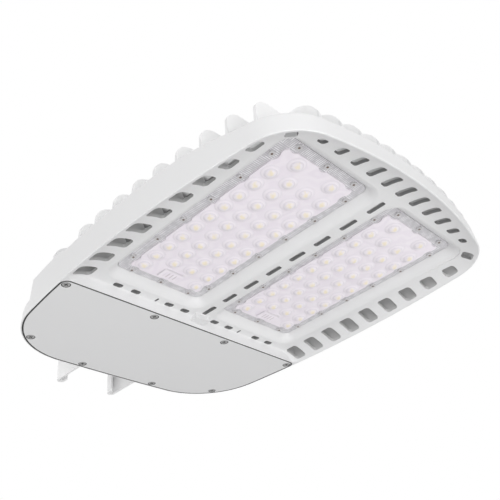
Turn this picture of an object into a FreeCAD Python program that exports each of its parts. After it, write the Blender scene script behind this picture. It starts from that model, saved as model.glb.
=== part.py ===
"""LED area light: a finned die-cast housing with two lens modules, a driver box and an arm bracket.

Millimetres. +X points to the free front end, +Z up, light shines down (-Z).
Z = 0 is the rim that the lamp rests on, X = 0 the middle of the overall length, Y = 0 the middle plane.
"""
import FreeCAD
import Part
import math
import os

Vector = FreeCAD.Vector
UP = Vector(0, 0, 1)

# Plan of the housing
BODY_LENGTH = 472.6
BODY_WIDTH = 357.0
ARM_REACH = 66.0             # bracket beyond the rear rim
FRONT_ARC_R = 520.0
SIDE_ARC_R = 1320.0
REAR_ARC_R = 4000.0
FRONT_CORNER_R = 57.0
REAR_CORNER_R = 90.0
FRONT_TO_WIDEST = 242.0      # front rim to the widest section
LIGHT_LENGTH = 315.2         # front rim to the straight edge of the driver cover

# Side elevation of the housing
FRONT_WALL_H = 21.5          # outer wall at the front
WALL_H = 40.0                # outer wall at the sides
RISE_OFFSET = 7.3            # front rim to where the wall top starts to rise
RISE_RUN = 167.0             # length of that rise, an S curve
DRAFT = 0.085                # inward lean of the outer wall, per height
ROOF_H = 43.5                # driver box, at its front
ROOF_REAR_H = 43.0           # driver box, at its rear edge
DECK_H = 16.0                # low rear deck, beside the box
DECK_REAR_H = 13.0
BOX_LENGTH = 78.0            # cover edge to the rear wall of the box
RIDGE_OFFSET = 18.0          # cover edge to the top of the roof's front slope
ROOF_START = 7.0             # cover edge to the foot of the roof
WALL_T = 5.0                 # outer wall at its foot
ROOF_T = 3.0
FACE_T = 4.0                 # vented face plate
RIM_LAND = 1.6
RIM_ROUND = 0.8
EDGE_ROUND = 2.0

# Dished face
FACE_Z = 10.4
DISH_RUN = 33.0              # rim to the flat part of the face
REAR_SLOPE_TOP = 5.5         # cover edge to the flat face
REAR_SLOPE_FOOT = 1.2        # cover edge to the foot of that slope
DISH_CORNER_R = 10.0

# Lens modules
SIDE_BAND = 46.4             # widest rim to a lens plate
CENTRE_BAR = 38.2            # between the two lens plates
LENS_CORNER_R = 8.0
LENS_FRONT_MARGIN = 46.5     # front rim to the lens plate
LENS_REAR_MARGIN = 25.7      # lens plate to the cover edge
LENS_CLEAR = 0.4
BEVEL_RUN = 10.0             # sloped border of each window
FLANGE_Z = 19.5
FLANGE_T = 2.5
FIELD_RISE = 1.5             # lens field below its flange
FIELD_INSET = 10.0
FIELD_CORNER_R = 6.0
SCALLOP_R = 8.0
LENS_GASKET_T = 3.0
LENS_GASKET_W = 9.0
BOARD_T = 1.6
BOARD_CLEAR = 1.0
CHIP_SIZE = 5.0
CHIP_T = 0.7
ROWS = 10
COLUMNS = 4
EXTRA_ROW_PITCH = 21.2       # last full row to the two front lenses
GRID_REAR_MARGIN = 21.2      # plate's rear edge to the first row
GRID_FRONT_MARGIN = 20.6     # the two front lenses to the plate's front edge
GRID_SIDE_MARGIN = 20.8      # outer columns to the plate's long edges
DOME_SHARE = 0.94            # dome's width, of the pitch between lenses
DOME_H = 2.4
CROWN_SHARE = 0.68           # crown's width, of the dome's
CROWN_H = 4.6
LENS_SCREW_INSET = 4.5
LONG_EDGE_SCREWS = 6
SHORT_EDGE_SCREWS = 3
LONG_EDGE_MARGIN = 24.5      # plate's corner to the first screw of a long edge
SHORT_EDGE_MARGIN = 17.7     # plate's corner to the first screw of a short edge
LENS_SCREW_R = 1.5
LENS_HEAD_R = 3.2
LENS_HEAD_H = 1.8
LENS_SCREW_LENGTH = 9.5
CONNECTOR_LENGTH = 20.0
CONNECTOR_WIDTH = 9.0
CONNECTOR_H = 4.5
CONNECTOR_CLEAR = 1.0
HOOD_WALL = 2.0
BASE_T = 6.0                 # heat sink plate behind each board
BASE_WALL = 5.0
BORDER_WALL = 3.0            # metal outside a window's border

# Vents
VENT_LENGTH = 16.0
VENT_CORNER_R = 4.0
VENT_RIM = 5.4               # rim to the outer end of a side vent
VENT_LENS_GAP = 17.9         # lens plate to the inner end of a side vent
SIDE_VENTS = 9
FRONT_TO_VENT = 66.0         # front rim to the first side vent
REAR_TO_VENT = 15.2          # last side vent to the cover edge
FRONT_VENTS = 11
FRONT_VENT_SIDE = 63.0       # widest rim to the first front vent
FRONT_VENT_WIDTH = 9.0
FRONT_VENT_SHORT = 6.2       # shortest side of the outermost front vents
FRONT_VENT_RIM = 9.5
FRONT_VENT_R = 3.0
CORNER_VENT_SIZE = 11.0
CORNER_VENT_RIM = 4.6
CORNER_VENT_ANGLE = 45.0
BAR_SLOTS = 8
BAR_SLOT_LENGTH = 20.0
BAR_SLOT_WIDTH = 6.0
FRONT_TO_BAR_SLOT = 54.0     # front rim to the first slot
REAR_TO_BAR_SLOT = 24.6      # last slot to the cover edge
BAR_CHANNEL = 14.0           # air channel between the modules
REAR_SLOT_LENGTH = 11.0
REAR_SLOT_WIDTH = 6.5
REAR_SLOT_R = 2.5
REAR_SLOT_STEPS = (1, 2, 4, 5)
REAR_SLOT_OFFSET = 8.2       # cover edge to the slot row
DRAIN_Y = 63.6
DRAIN_LENGTH = 6.5
DRAIN_WIDTH = 2.2
PAD_LENGTH = 9.5             # plain raised pad on the face
PAD_WIDTH = 19.4
PAD_Z = 4.2
PAD_OFFSET = 3.1

# Fins
FIN_T = 2.5
FIN_TOP_Z = 64.0
FIN_FOOT_Z = 20.0
FIN_ROUND = 22.0             # outer top corners of the cross fins
FIN_SETBACK = 0.3
FRONT_TO_FIN = 56.3          # front rim to the first cross fin
FIN_STEPS = (0, 1, 2, 3, 4, 5, 6, 7, 8, 9.75)
LAST_FIN_OFFSET = 31.2       # cover edge to the fin on the roof
FRONT_FIN_SIDE = 54.2        # widest rim to the first lengthwise fin
CREST_START = 119.0          # front rim to where the line of fin tops starts to fall
CREST_R = 220.0
NOSE_TOP_Z = 50.5            # lengthwise front fins
NOSE_ROUND = 30.0

# Driver cover
COVER_T = 3.0
COVER_RIM = 1.4              # housing rim around the cover
GASKET_GAP = 2.0
COVER_CORNER_R = 9.0
GASKET_T = 2.0
GASKET_W = 6.0
GASKET_CLEAR = 0.1
COVER_SCREW_INSET = 7.4      # gasket line to a screw
FRONT_SCREW_INSET = 8.6      # straight edge to a screw
COVER_SCREW_Y = 53.7
COVER_SCREW_R = 2.0
COVER_HEAD_R = 4.1
COVER_HEAD_H = 1.6
COVER_SINK_R = 5.0
COVER_SINK_DEPTH = 1.8
COVER_SCREW_LENGTH = 9.0
REAR_CORNER_ANGLE = 46.0     # rear corner screw, from the lamp's axis
BOSS_R = 6.0
BOSS_H = 12.0
LEDGE_W = 5.0
SCREW_CLEAR = 0.1            # round a shank in its tapped hole
HOLE_CLEAR = 0.3             # round a shank in a plain hole
HOLE_SPARE = 0.5             # screw hole beyond the screw's end

# Arm bracket
ARM_WIDTH = 89.0
ARM_T = 3.0
ARM_BEND_R = 1.5
ARM_BOTTOM_Z = 9.0
ARM_HOOK_WIDTH = 10.5        # rear hook of a cheek, across
ARM_HOOK_LENGTH = 11.5       # rear hook of a cheek, along
ARM_HOLE_OFFSET = 34.0       # tail to the middle of the web's four pole bolt holes
ARM_HOLE_SPACING_X = 36.0
ARM_HOLE_SPACING_Y = 50.0
ARM_HOLE_R = 3.3
ARM_DECK_GAP = 3.0
SADDLE_H = 48.0
SADDLE_MARGIN = 1.5          # saddle beyond the arm, each side
SADDLE_LENGTH = 40.0
SADDLE_REAR = 3.0            # rear wall of the box to the saddle
BOLT_R = 4.0
BOLT_LENGTH = 14.0
BOLT_HEAD_AF = 13.0
BOLT_HEAD_H = 5.3
BOLT_SPACING_X = 22.0
BOLT_SPACING_Y = 56.0
BOLT_CLEAR = 0.5
WASHER_R = 8.0
WASHER_T = 1.6

# Driver compartment
POST_R = 5.0
GEAR_TOP_Z = 31.0            # mounting plane of the control gear
GEAR_X_OFFSET = 40.0         # cover edge to the middle of the gear
TAB_T = 3.0
TAB_LENGTH = 12.0
GEAR_SCREW_R = 2.0
GEAR_HEAD_R = 3.6
GEAR_HEAD_H = 2.2
GEAR_SCREW_LENGTH = 9.0
GEAR_GAP = 3.0               # between the tabs of two cases
DRIVER_SIDE = 39.5           # widest rim to the driver's tab
DRIVER_LENGTH = 48.0
DRIVER_H = 21.0
SURGE_SIZE = (30.0, 46.0, 19.0)
TERMINAL_SIZE = (26.0, 20.0, 15.0)
TERMINAL_SIDE = 23.5         # widest rim to the terminal block's tab
TERMINAL_WAYS = 3
CASE_ROUND = 3.0
GLAND_R = 6.0
GLAND_Z = 25.5
GLAND_FLANGE_R = 8.5
GLAND_LENGTH = 20.0
GLAND_BORE_R = 3.6
GLAND_STEP = 1.0
GLAND_NUT_AF = 17.0
GLAND_NUT_T = 4.0
LEAD_HOLE_R = 2.6            # ducts of the module leads
DUCT_WIDTH = 14.0
GROMMET_LENGTH = 6.0
GROMMET_LIP = 1.6
GROMMET_LIP_T = 1.5
GROMMET_BORE_R = 1.6

# Places that follow from the sizes above
FRONT_X = (BODY_LENGTH + ARM_REACH) / 2
REAR_X = FRONT_X - BODY_LENGTH
TAIL_X = REAR_X - ARM_REACH
WIDEST_X = FRONT_X - FRONT_TO_WIDEST
COVER_X = FRONT_X - LIGHT_LENGTH
BOX_REAR_X = COVER_X - BOX_LENGTH
LENS_FRONT_X = FRONT_X - LENS_FRONT_MARGIN
LENS_REAR_X = COVER_X + LENS_REAR_MARGIN
LENS_LENGTH = LENS_FRONT_X - LENS_REAR_X
LENS_X = (LENS_FRONT_X + LENS_REAR_X) / 2
LENS_WIDTH = BODY_WIDTH / 2 - SIDE_BAND - CENTRE_BAR / 2
MODULE_SPACING = LENS_WIDTH + CENTRE_BAR
GRID_LENGTH = LENS_LENGTH - GRID_REAR_MARGIN - EXTRA_ROW_PITCH - GRID_FRONT_MARGIN
ROW_PITCH = GRID_LENGTH / (ROWS - 1)
COLUMN_PITCH = (LENS_WIDTH - 2 * GRID_SIDE_MARGIN) / (COLUMNS - 1)
DOME_R = DOME_SHARE * min(ROW_PITCH, COLUMN_PITCH) / 2
CROWN_R = CROWN_SHARE * DOME_R
LONG_SCREW_PITCH = (LENS_LENGTH - 2 * LONG_EDGE_MARGIN) / (LONG_EDGE_SCREWS - 1)
SHORT_SCREW_PITCH = (LENS_WIDTH - 2 * SHORT_EDGE_MARGIN) / (SHORT_EDGE_SCREWS - 1)
VENT_INNER_Y = (MODULE_SPACING + LENS_WIDTH) / 2 + VENT_LENS_GAP
SIDE_VENT_PITCH = (LIGHT_LENGTH - FRONT_TO_VENT - REAR_TO_VENT) / (SIDE_VENTS - 1)
FRONT_VENT_PITCH = (BODY_WIDTH - 2 * FRONT_VENT_SIDE) / (FRONT_VENTS - 1)
BAR_SLOT_PITCH = (LIGHT_LENGTH - FRONT_TO_BAR_SLOT - REAR_TO_BAR_SLOT) / (BAR_SLOTS - 1)
FIN_PITCH = (LIGHT_LENGTH + LAST_FIN_OFFSET - FRONT_TO_FIN) / FIN_STEPS[-1]
FRONT_FIN_PITCH = (BODY_WIDTH - 2 * FRONT_FIN_SIDE) / FRONT_VENTS
SADDLE_WIDTH = ARM_WIDTH + 2 * SADDLE_MARGIN
TERMINAL_Y = BODY_WIDTH / 2 - TERMINAL_SIDE - TAB_LENGTH - TERMINAL_SIZE[1] / 2
SURGE_Y = TERMINAL_Y - TERMINAL_SIZE[1] / 2 - 2 * TAB_LENGTH - GEAR_GAP - SURGE_SIZE[1] / 2
DRIVER_LOW_Y = DRIVER_SIDE - BODY_WIDTH / 2
DRIVER_HIGH_Y = SURGE_Y - SURGE_SIZE[1] / 2 - TAB_LENGTH - GEAR_GAP
DRIVER_Y = (DRIVER_LOW_Y + DRIVER_HIGH_Y) / 2
DRIVER_SIZE = (DRIVER_LENGTH, DRIVER_HIGH_Y - DRIVER_LOW_Y - 2 * TAB_LENGTH, DRIVER_H)
GASKET_Z = FLANGE_Z + FLANGE_T
SEAT_Z = GASKET_Z + LENS_GASKET_T
BOARD_Z = SEAT_Z - BOARD_T
CHIP_Z = BOARD_Z - CHIP_T
FIELD_Z = FLANGE_Z - FIELD_RISE
BASE_TOP_Z = SEAT_Z + BASE_T
LEDGE_Z = COVER_T + GASKET_T
BOLT_SEAT_Z = SADDLE_H + ARM_T + WASHER_T
BOLT_END_Z = BOLT_SEAT_Z - BOLT_LENGTH
RISE_X = FRONT_X - RISE_OFFSET
ENVELOPE_H = 80.0
REACH = BODY_LENGTH + BODY_WIDTH   # longer than the lamp, for cutting blocks
PAST = 1.0                         # how far a cutter runs past the surface it opens
SIDES = {"left": 1, "right": -1}


def block(x0, x1, y0, y1, z0, z1):
    """Box between two corners."""
    return Part.makeBox(x1 - x0, y1 - y0, z1 - z0, Vector(x0, y0, z0))


def rod(x, y, z0, z1, radius):
    """Upright cylinder."""
    return Part.makeCylinder(radius, z1 - z0, Vector(x, y, z0), UP)


def fused(first, others):
    """One clean solid from touching solids."""
    return first.multiFuse(others).removeSplitter()


def is_upright(edge):
    """True for a straight edge along Z."""
    if not isinstance(edge.Curve, (Part.Line, Part.LineSegment)):
        return False
    return abs(edge.tangentAt(edge.FirstParameter).z) > 0.999


def upright_edges(shape):
    return [edge for edge in shape.Edges if is_upright(edge)]


def rounded_block(x0, x1, y0, y1, z0, z1, radius):
    """Box with rounded upright edges."""
    solid = block(x0, x1, y0, y1, z0, z1)
    return solid.makeFillet(radius, upright_edges(solid))


def rounded_prism(points, z0, z1, radius):
    """Upright prism of a polygon, with its upright edges rounded."""
    outline = [Vector(x, y, z0) for x, y in points]
    solid = Part.Face(Part.makePolygon(outline + outline[:1])).extrude(UP * (z1 - z0))
    return solid.makeFillet(radius, upright_edges(solid))


def hexagon(x, y, z0, z1, across_flats):
    """Upright hexagonal prism."""
    radius = across_flats / math.sqrt(3)
    points = [Vector(x + radius * math.cos(math.radians(60 * k)),
                     y + radius * math.sin(math.radians(60 * k)), z0) for k in range(7)]
    return Part.Face(Part.makePolygon(points)).extrude(UP * (z1 - z0))


def wall_top(x):
    """Height of the outer wall at x, ahead of the driver box: level, an S curve of two arcs, level."""
    climb = WALL_H - FRONT_WALL_H
    radius = (RISE_RUN ** 2 + climb ** 2) / (4 * climb)
    along = min(max(RISE_X - x, 0), RISE_RUN)
    if along < RISE_RUN / 2:
        return FRONT_WALL_H + radius - math.sqrt(radius ** 2 - along ** 2)
    return WALL_H - radius + math.sqrt(radius ** 2 - (RISE_RUN - along) ** 2)


def side_y(x, inset=0.0):
    """Half width of the side arcs at x."""
    radius = SIDE_ARC_R - inset
    return BODY_WIDTH / 2 - SIDE_ARC_R + math.sqrt(radius ** 2 - (x - WIDEST_X) ** 2)


def front_x(y, inset=0.0):
    """Place of the front arc at y."""
    return FRONT_X - FRONT_ARC_R + math.sqrt((FRONT_ARC_R - inset) ** 2 - y ** 2)


def rear_x(y, inset=0.0):
    """Place of the rear arc at y."""
    return REAR_X + REAR_ARC_R - math.sqrt((REAR_ARC_R - inset) ** 2 - y ** 2)


def corner_centre(arc_x, arc_r, corner_r):
    """Centre of a plan corner that rounds a side arc into an end arc centred at (arc_x, 0)."""
    side_centre_y = BODY_WIDTH / 2 - SIDE_ARC_R
    d_side = SIDE_ARC_R - corner_r
    d_end = arc_r - corner_r
    dx = WIDEST_X - arc_x
    dy = side_centre_y
    gap = math.hypot(dx, dy)
    along = (d_end ** 2 - d_side ** 2 + gap ** 2) / (2 * gap)
    off = math.sqrt(d_end ** 2 - along ** 2)
    options = []
    for sign in (1, -1):
        options.append(Vector(arc_x + along * dx / gap - sign * off * dy / gap,
                              along * dy / gap + sign * off * dx / gap, 0))
    return max(options, key=lambda point: point.y)


def plan_corner(arc_x, arc_r, corner_r):
    """Plan corner on the left side: its centre, and the directions of its two tangent points."""
    centre = corner_centre(arc_x, arc_r, corner_r)
    to_side = (centre - Vector(WIDEST_X, BODY_WIDTH / 2 - SIDE_ARC_R, 0)).normalize()
    to_end = (centre - Vector(arc_x, 0, 0)).normalize()
    return centre, to_side, to_end


def arc_between(start, middle, end):
    return Part.Arc(start, middle, end).toShape()


def plan_outline(inset, z):
    """Closed outline of the housing's plan, moved in by inset: end arcs, side arcs and round corners."""
    front = plan_corner(FRONT_X - FRONT_ARC_R, FRONT_ARC_R, FRONT_CORNER_R)
    rear = plan_corner(REAR_X + REAR_ARC_R, REAR_ARC_R, REAR_CORNER_R)
    half = []
    for corner, radius in ((front, FRONT_CORNER_R - inset), (rear, REAR_CORNER_R - inset)):
        centre, to_side, to_end = corner
        middle = (to_side + to_end).normalize()
        half.append([centre + direction * radius for direction in (to_end, middle, to_side)])
    (f_end, f_mid, f_side), (r_end, r_mid, r_side) = half
    lift = Vector(0, 0, z)

    def place(point, side=1):
        return Vector(point.x, side * point.y, 0) + lift

    widest = Vector(WIDEST_X, BODY_WIDTH / 2 - inset, 0)
    edges = []
    edges.append(arc_between(place(f_end, -1), Vector(FRONT_X - inset, 0, z), place(f_end)))
    edges.append(arc_between(place(f_end), place(f_mid), place(f_side)))
    edges.append(arc_between(place(f_side), place(widest), place(r_side)))
    edges.append(arc_between(place(r_side), place(r_mid), place(r_end)))
    edges.append(arc_between(place(r_end), Vector(REAR_X + inset, 0, z), place(r_end, -1)))
    edges.append(arc_between(place(r_end, -1), place(r_mid, -1), place(r_side, -1)))
    edges.append(arc_between(place(r_side, -1), place(widest, -1), place(f_side, -1)))
    edges.append(arc_between(place(f_side, -1), place(f_mid, -1), place(f_end, -1)))
    return Part.Wire(edges)


def plan_prism(inset, z0, z1, x_min=None, x_max=None, corner=None):
    """Upright prism of the housing's plan, moved in by inset and cut off at x_min or x_max."""
    solid = Part.Face(plan_outline(inset, z0)).extrude(UP * (z1 - z0))
    if x_min is None and x_max is None:
        return solid
    low = -REACH if x_min is None else x_min
    high = REACH if x_max is None else x_max
    solid = solid.common(block(low, high, -REACH, REACH, z0, z1))
    if corner:
        cut = low if x_max is None else high
        ends = [edge for edge in upright_edges(solid) if abs(edge.CenterOfMass.x - cut) < 1e-3]
        solid = solid.makeFillet(corner, ends)
    return solid


def foot_wire(solid):
    """Outline of a prism's lowest face."""
    face = min(solid.Faces, key=lambda f: f.CenterOfMass.z)
    return face.OuterWire


def plan_wire(inset, z, **limits):
    return foot_wire(plan_prism(inset, z, z + PAST, **limits))


def leaning_body(inset, z0, z1):
    """Plan prism whose walls lean in as the casting's draft."""
    low = plan_outline(inset + DRAFT * z0, z0)
    high = plan_outline(inset + DRAFT * z1, z1)
    return Part.makeLoft([low, high], True, True)


def top_profile(drop=0.0, end=0.0):
    """Long prism below the housing's top line; drop lowers it and end moves the box wall forward."""
    def place(x, z):
        return Vector(x, -REACH, z - drop)

    def rise(share):
        x = RISE_X - share * RISE_RUN
        return place(x, wall_top(x))

    floor = drop - PAST
    rear_top = BOX_REAR_X + end
    front = [place(REACH, floor), place(REACH, FRONT_WALL_H), rise(0)]
    rear = [rise(1), place(COVER_X - ROOF_START, WALL_H), place(COVER_X - RIDGE_OFFSET, ROOF_H),
            place(rear_top, ROOF_REAR_H), place(rear_top, DECK_H), place(REAR_X, DECK_REAR_H),
            place(-REACH, DECK_REAR_H), place(-REACH, floor), place(REACH, floor)]
    edges = [Part.makeLine(a, b) for a, b in zip(front, front[1:])]
    edges.append(arc_between(rise(0), rise(0.25), rise(0.5)))
    edges.append(arc_between(rise(0.5), rise(0.75), rise(1)))
    edges.extend(Part.makeLine(a, b) for a, b in zip(rear, rear[1:]))
    return Part.Face(Part.Wire(edges)).extrude(Vector(0, 2 * REACH, 0))


def lens_outline(side, grow, z0, z1):
    """Rounded prism of a lens plate, grown all round."""
    y = side * MODULE_SPACING / 2
    half = LENS_WIDTH / 2 + grow
    return rounded_block(LENS_REAR_X - grow, LENS_FRONT_X + grow, y - half, y + half, z0, z1,
                         LENS_CORNER_R + grow)


def lens_points(side):
    """Middle of each lens of a module."""
    y = side * MODULE_SPACING / 2
    first = LENS_REAR_X + GRID_REAR_MARGIN
    points = []
    for row in range(ROWS):
        for column in range(COLUMNS):
            inner = 0 < column < COLUMNS - 1
            if row == 0 and inner:
                continue
            points.append((first + row * ROW_PITCH, y + (column - (COLUMNS - 1) / 2) * COLUMN_PITCH))
    front = first + (ROWS - 1) * ROW_PITCH + EXTRA_ROW_PITCH
    for sign in (-1, 1):
        points.append((front, y + sign * COLUMN_PITCH))
    return points


def lens_screw_points(side):
    """Screws round a lens plate, along its long edges and its short ones."""
    y = side * MODULE_SPACING / 2
    long_y = LENS_WIDTH / 2 - LENS_SCREW_INSET
    short_x = LENS_LENGTH / 2 - LENS_SCREW_INSET
    points = []
    for sign in (-1, 1):
        for k in range(LONG_EDGE_SCREWS):
            x = LENS_REAR_X + LONG_EDGE_MARGIN + k * LONG_SCREW_PITCH
            points.append((x, y + sign * long_y))
        for k in range(SHORT_EDGE_SCREWS):
            across = y - LENS_WIDTH / 2 + SHORT_EDGE_MARGIN + k * SHORT_SCREW_PITCH
            points.append((LENS_X + sign * short_x, across))
    return points


def cover_screw_points():
    """Eight cover screws: four along the straight edge, two in the corners, two at the rear."""
    inset = COVER_RIM + COVER_SCREW_INSET
    front = COVER_X - FRONT_SCREW_INSET
    centre = corner_centre(REAR_X + REAR_ARC_R, REAR_ARC_R, REAR_CORNER_R)
    reach = REAR_CORNER_R - inset
    angle = math.radians(REAR_CORNER_ANGLE)
    corner = (centre.x - reach * math.cos(angle), centre.y + reach * math.sin(angle))
    half = [
        (front, side_y(front, inset)),
        (front, COVER_SCREW_Y),
        corner,
        (rear_x(COVER_SCREW_Y, inset), COVER_SCREW_Y),
    ]
    return half + [(x, -y) for x, y in half]


def arm_bolt_points():
    """Bolts that hold the bracket on the saddle."""
    middle = BOX_REAR_X + SADDLE_REAR + SADDLE_LENGTH / 2
    return [(middle + i * BOLT_SPACING_X / 2, j * BOLT_SPACING_Y / 2) for i in (-1, 1) for j in (-1, 1)]


def gear_posts():
    """Screw posts of the control gear: driver, surge protector, terminal block."""
    x = COVER_X - GEAR_X_OFFSET
    posts = {}
    for name, middle, size in (("driver", DRIVER_Y, DRIVER_SIZE), ("surge", SURGE_Y, SURGE_SIZE),
                               ("terminal", TERMINAL_Y, TERMINAL_SIZE)):
        reach = size[1] / 2 + TAB_LENGTH / 2
        posts[name] = [(x, middle - reach), (x, middle + reach)]
    return posts


def duct_axis(side, x):
    """Point on the axis of a module's lead duct, which runs along X inside the heat sink plate."""
    return Vector(x, side * MODULE_SPACING / 2, SEAT_Z + BASE_T / 2)


def lead_hole_x():
    """Where a module's leads rise through the board into their duct."""
    return LENS_REAR_X + LENS_GASKET_W + BOARD_CLEAR + 2 * LEAD_HOLE_R


# Housing
def side_vent(x, side):
    """Air vent beside a module; its outer end follows the rim."""
    points = []
    for end in (x - VENT_LENGTH / 2, x + VENT_LENGTH / 2):
        points.append((end, side * side_y(end, VENT_RIM)))
    points.append((x + VENT_LENGTH / 2, side * VENT_INNER_Y))
    points.append((x - VENT_LENGTH / 2, side * VENT_INNER_Y))
    return rounded_prism(points, -PAST, FIN_FOOT_Z, VENT_CORNER_R)


def front_vent(y):
    """Narrow air vent at the front; its outer end follows the rim, the inner ends lie in one line."""
    outermost = (FRONT_VENTS - 1) / 2 * FRONT_VENT_PITCH + FRONT_VENT_WIDTH / 2
    inner = front_x(outermost, FRONT_VENT_RIM) - FRONT_VENT_SHORT
    points = []
    for end in (y - FRONT_VENT_WIDTH / 2, y + FRONT_VENT_WIDTH / 2):
        points.append((front_x(end, FRONT_VENT_RIM), end))
    points.append((inner, y + FRONT_VENT_WIDTH / 2))
    points.append((inner, y - FRONT_VENT_WIDTH / 2))
    return rounded_prism(points, -PAST, FIN_FOOT_Z, FRONT_VENT_R)


def slot(x, y, length, width, radius, z1):
    """Upright slot cutter, length along X."""
    return rounded_block(x - length / 2, x + length / 2, y - width / 2, y + width / 2, -PAST, z1, radius)


def vent_cutters():
    """All air vents of the face, as upright prisms."""
    cutters = []
    top = FIN_FOOT_Z
    for side in SIDES.values():
        for k in range(SIDE_VENTS):
            cutters.append(side_vent(FRONT_X - FRONT_TO_VENT - k * SIDE_VENT_PITCH, side))
    for k in range(FRONT_VENTS):
        cutters.append(front_vent((k - (FRONT_VENTS - 1) / 2) * FRONT_VENT_PITCH))
    centre = corner_centre(FRONT_X - FRONT_ARC_R, FRONT_ARC_R, FRONT_CORNER_R)
    reach = FRONT_CORNER_R - CORNER_VENT_RIM - CORNER_VENT_SIZE / 2
    half = CORNER_VENT_SIZE / 2
    for side in SIDES.values():
        vent = rounded_block(-half, half, -half, half, -PAST, top, FRONT_VENT_R)
        vent.rotate(Vector(0, 0, 0), UP, side * CORNER_VENT_ANGLE)
        angle = math.radians(CORNER_VENT_ANGLE)
        across = centre.y + reach * math.sin(angle)
        vent.translate(Vector(centre.x + reach * math.cos(angle), side * across, 0))
        cutters.append(vent)
    for k in range(BAR_SLOTS):
        x = FRONT_X - FRONT_TO_BAR_SLOT - k * BAR_SLOT_PITCH
        cutters.append(slot(x, 0, BAR_SLOT_LENGTH, BAR_SLOT_WIDTH, BAR_SLOT_WIDTH / 3, BASE_TOP_Z))
    x = COVER_X + REAR_SLOT_OFFSET
    for side in SIDES.values():
        for step in REAR_SLOT_STEPS:
            y = side * step * FRONT_VENT_PITCH
            cutters.append(slot(x, y, REAR_SLOT_WIDTH, REAR_SLOT_LENGTH, REAR_SLOT_R, top))
        cutters.append(slot(x, side * DRAIN_Y, DRAIN_LENGTH, DRAIN_WIDTH, DRAIN_WIDTH / 3, top))
    return cutters


def dish(lift=0.0):
    """Hollow of the underside: in section an arc that runs from the rim up into the flat face."""
    run = DISH_RUN - RIM_LAND
    radius = (run ** 2 + FACE_Z ** 2) / (2 * FACE_Z)
    sections = []
    for share in (1.0, 0.75, 0.5, 0.25, 0.0):
        angle = share * math.asin(run / radius)
        inset = DISH_RUN - radius * math.sin(angle)
        z = FACE_Z - radius * (1 - math.cos(angle))
        rear = COVER_X + REAR_SLOPE_TOP - share * (REAR_SLOPE_TOP - REAR_SLOPE_FOOT)
        sections.append(plan_wire(inset, z + lift, x_min=rear, corner=DISH_CORNER_R))
    return Part.makeLoft(sections, True, False)


def window(side):
    """Window of one module: curved border, pocket up to the seat, and the way through the dish."""
    sections = []
    for rise, share in ((0.0, 1.0), (0.08, 0.8), (0.3, 0.52), (1.0, 0.0)):
        z = FACE_Z + rise * (FLANGE_Z - FACE_Z)
        sections.append(foot_wire(lens_outline(side, LENS_CLEAR + share * BEVEL_RUN, z, z + PAST)))
    border = Part.makeLoft(sections, True, False)
    mouth = lens_outline(side, LENS_CLEAR + BEVEL_RUN, -PAST, FACE_Z)
    pocket = lens_outline(side, LENS_CLEAR, FLANGE_Z, SEAT_Z)
    return mouth.fuse(border).fuse(pocket)


def cross_fin(step):
    """Fin across the housing, with large rounds at its outer top corners."""
    x = FRONT_X - FRONT_TO_FIN - step * FIN_PITCH
    past_crest = max(0, x - (FRONT_X - CREST_START))
    top = FIN_TOP_Z - past_crest ** 2 / (2 * CREST_R)
    half = side_y(x, FIN_SETBACK + DRAFT * wall_top(x))
    plate = block(x - FIN_T / 2, x + FIN_T / 2, -half, half, FIN_FOOT_Z, top)
    corners = [edge for edge in plate.Edges if edge.CenterOfMass.z > top - 1e-3
               and abs(edge.CenterOfMass.y) > half - 1e-3]
    return plate.makeFillet(FIN_ROUND, corners)


def front_fin(k):
    """Short lengthwise fin between two front vents, with a large round nose."""
    y = (k - FRONT_VENTS / 2) * FRONT_FIN_PITCH
    nose = front_x(y, FIN_SETBACK + DRAFT * FRONT_WALL_H)
    plate = block(FRONT_X - FRONT_TO_FIN, nose, y - FIN_T / 2, y + FIN_T / 2, FACE_T, NOSE_TOP_Z)
    tip = Vector(nose, y, NOSE_TOP_Z)
    corner = [edge for edge in plate.Edges if edge.CenterOfMass.distanceToPoint(tip) < 1e-3]
    return plate.makeFillet(NOSE_ROUND, corner)


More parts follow.
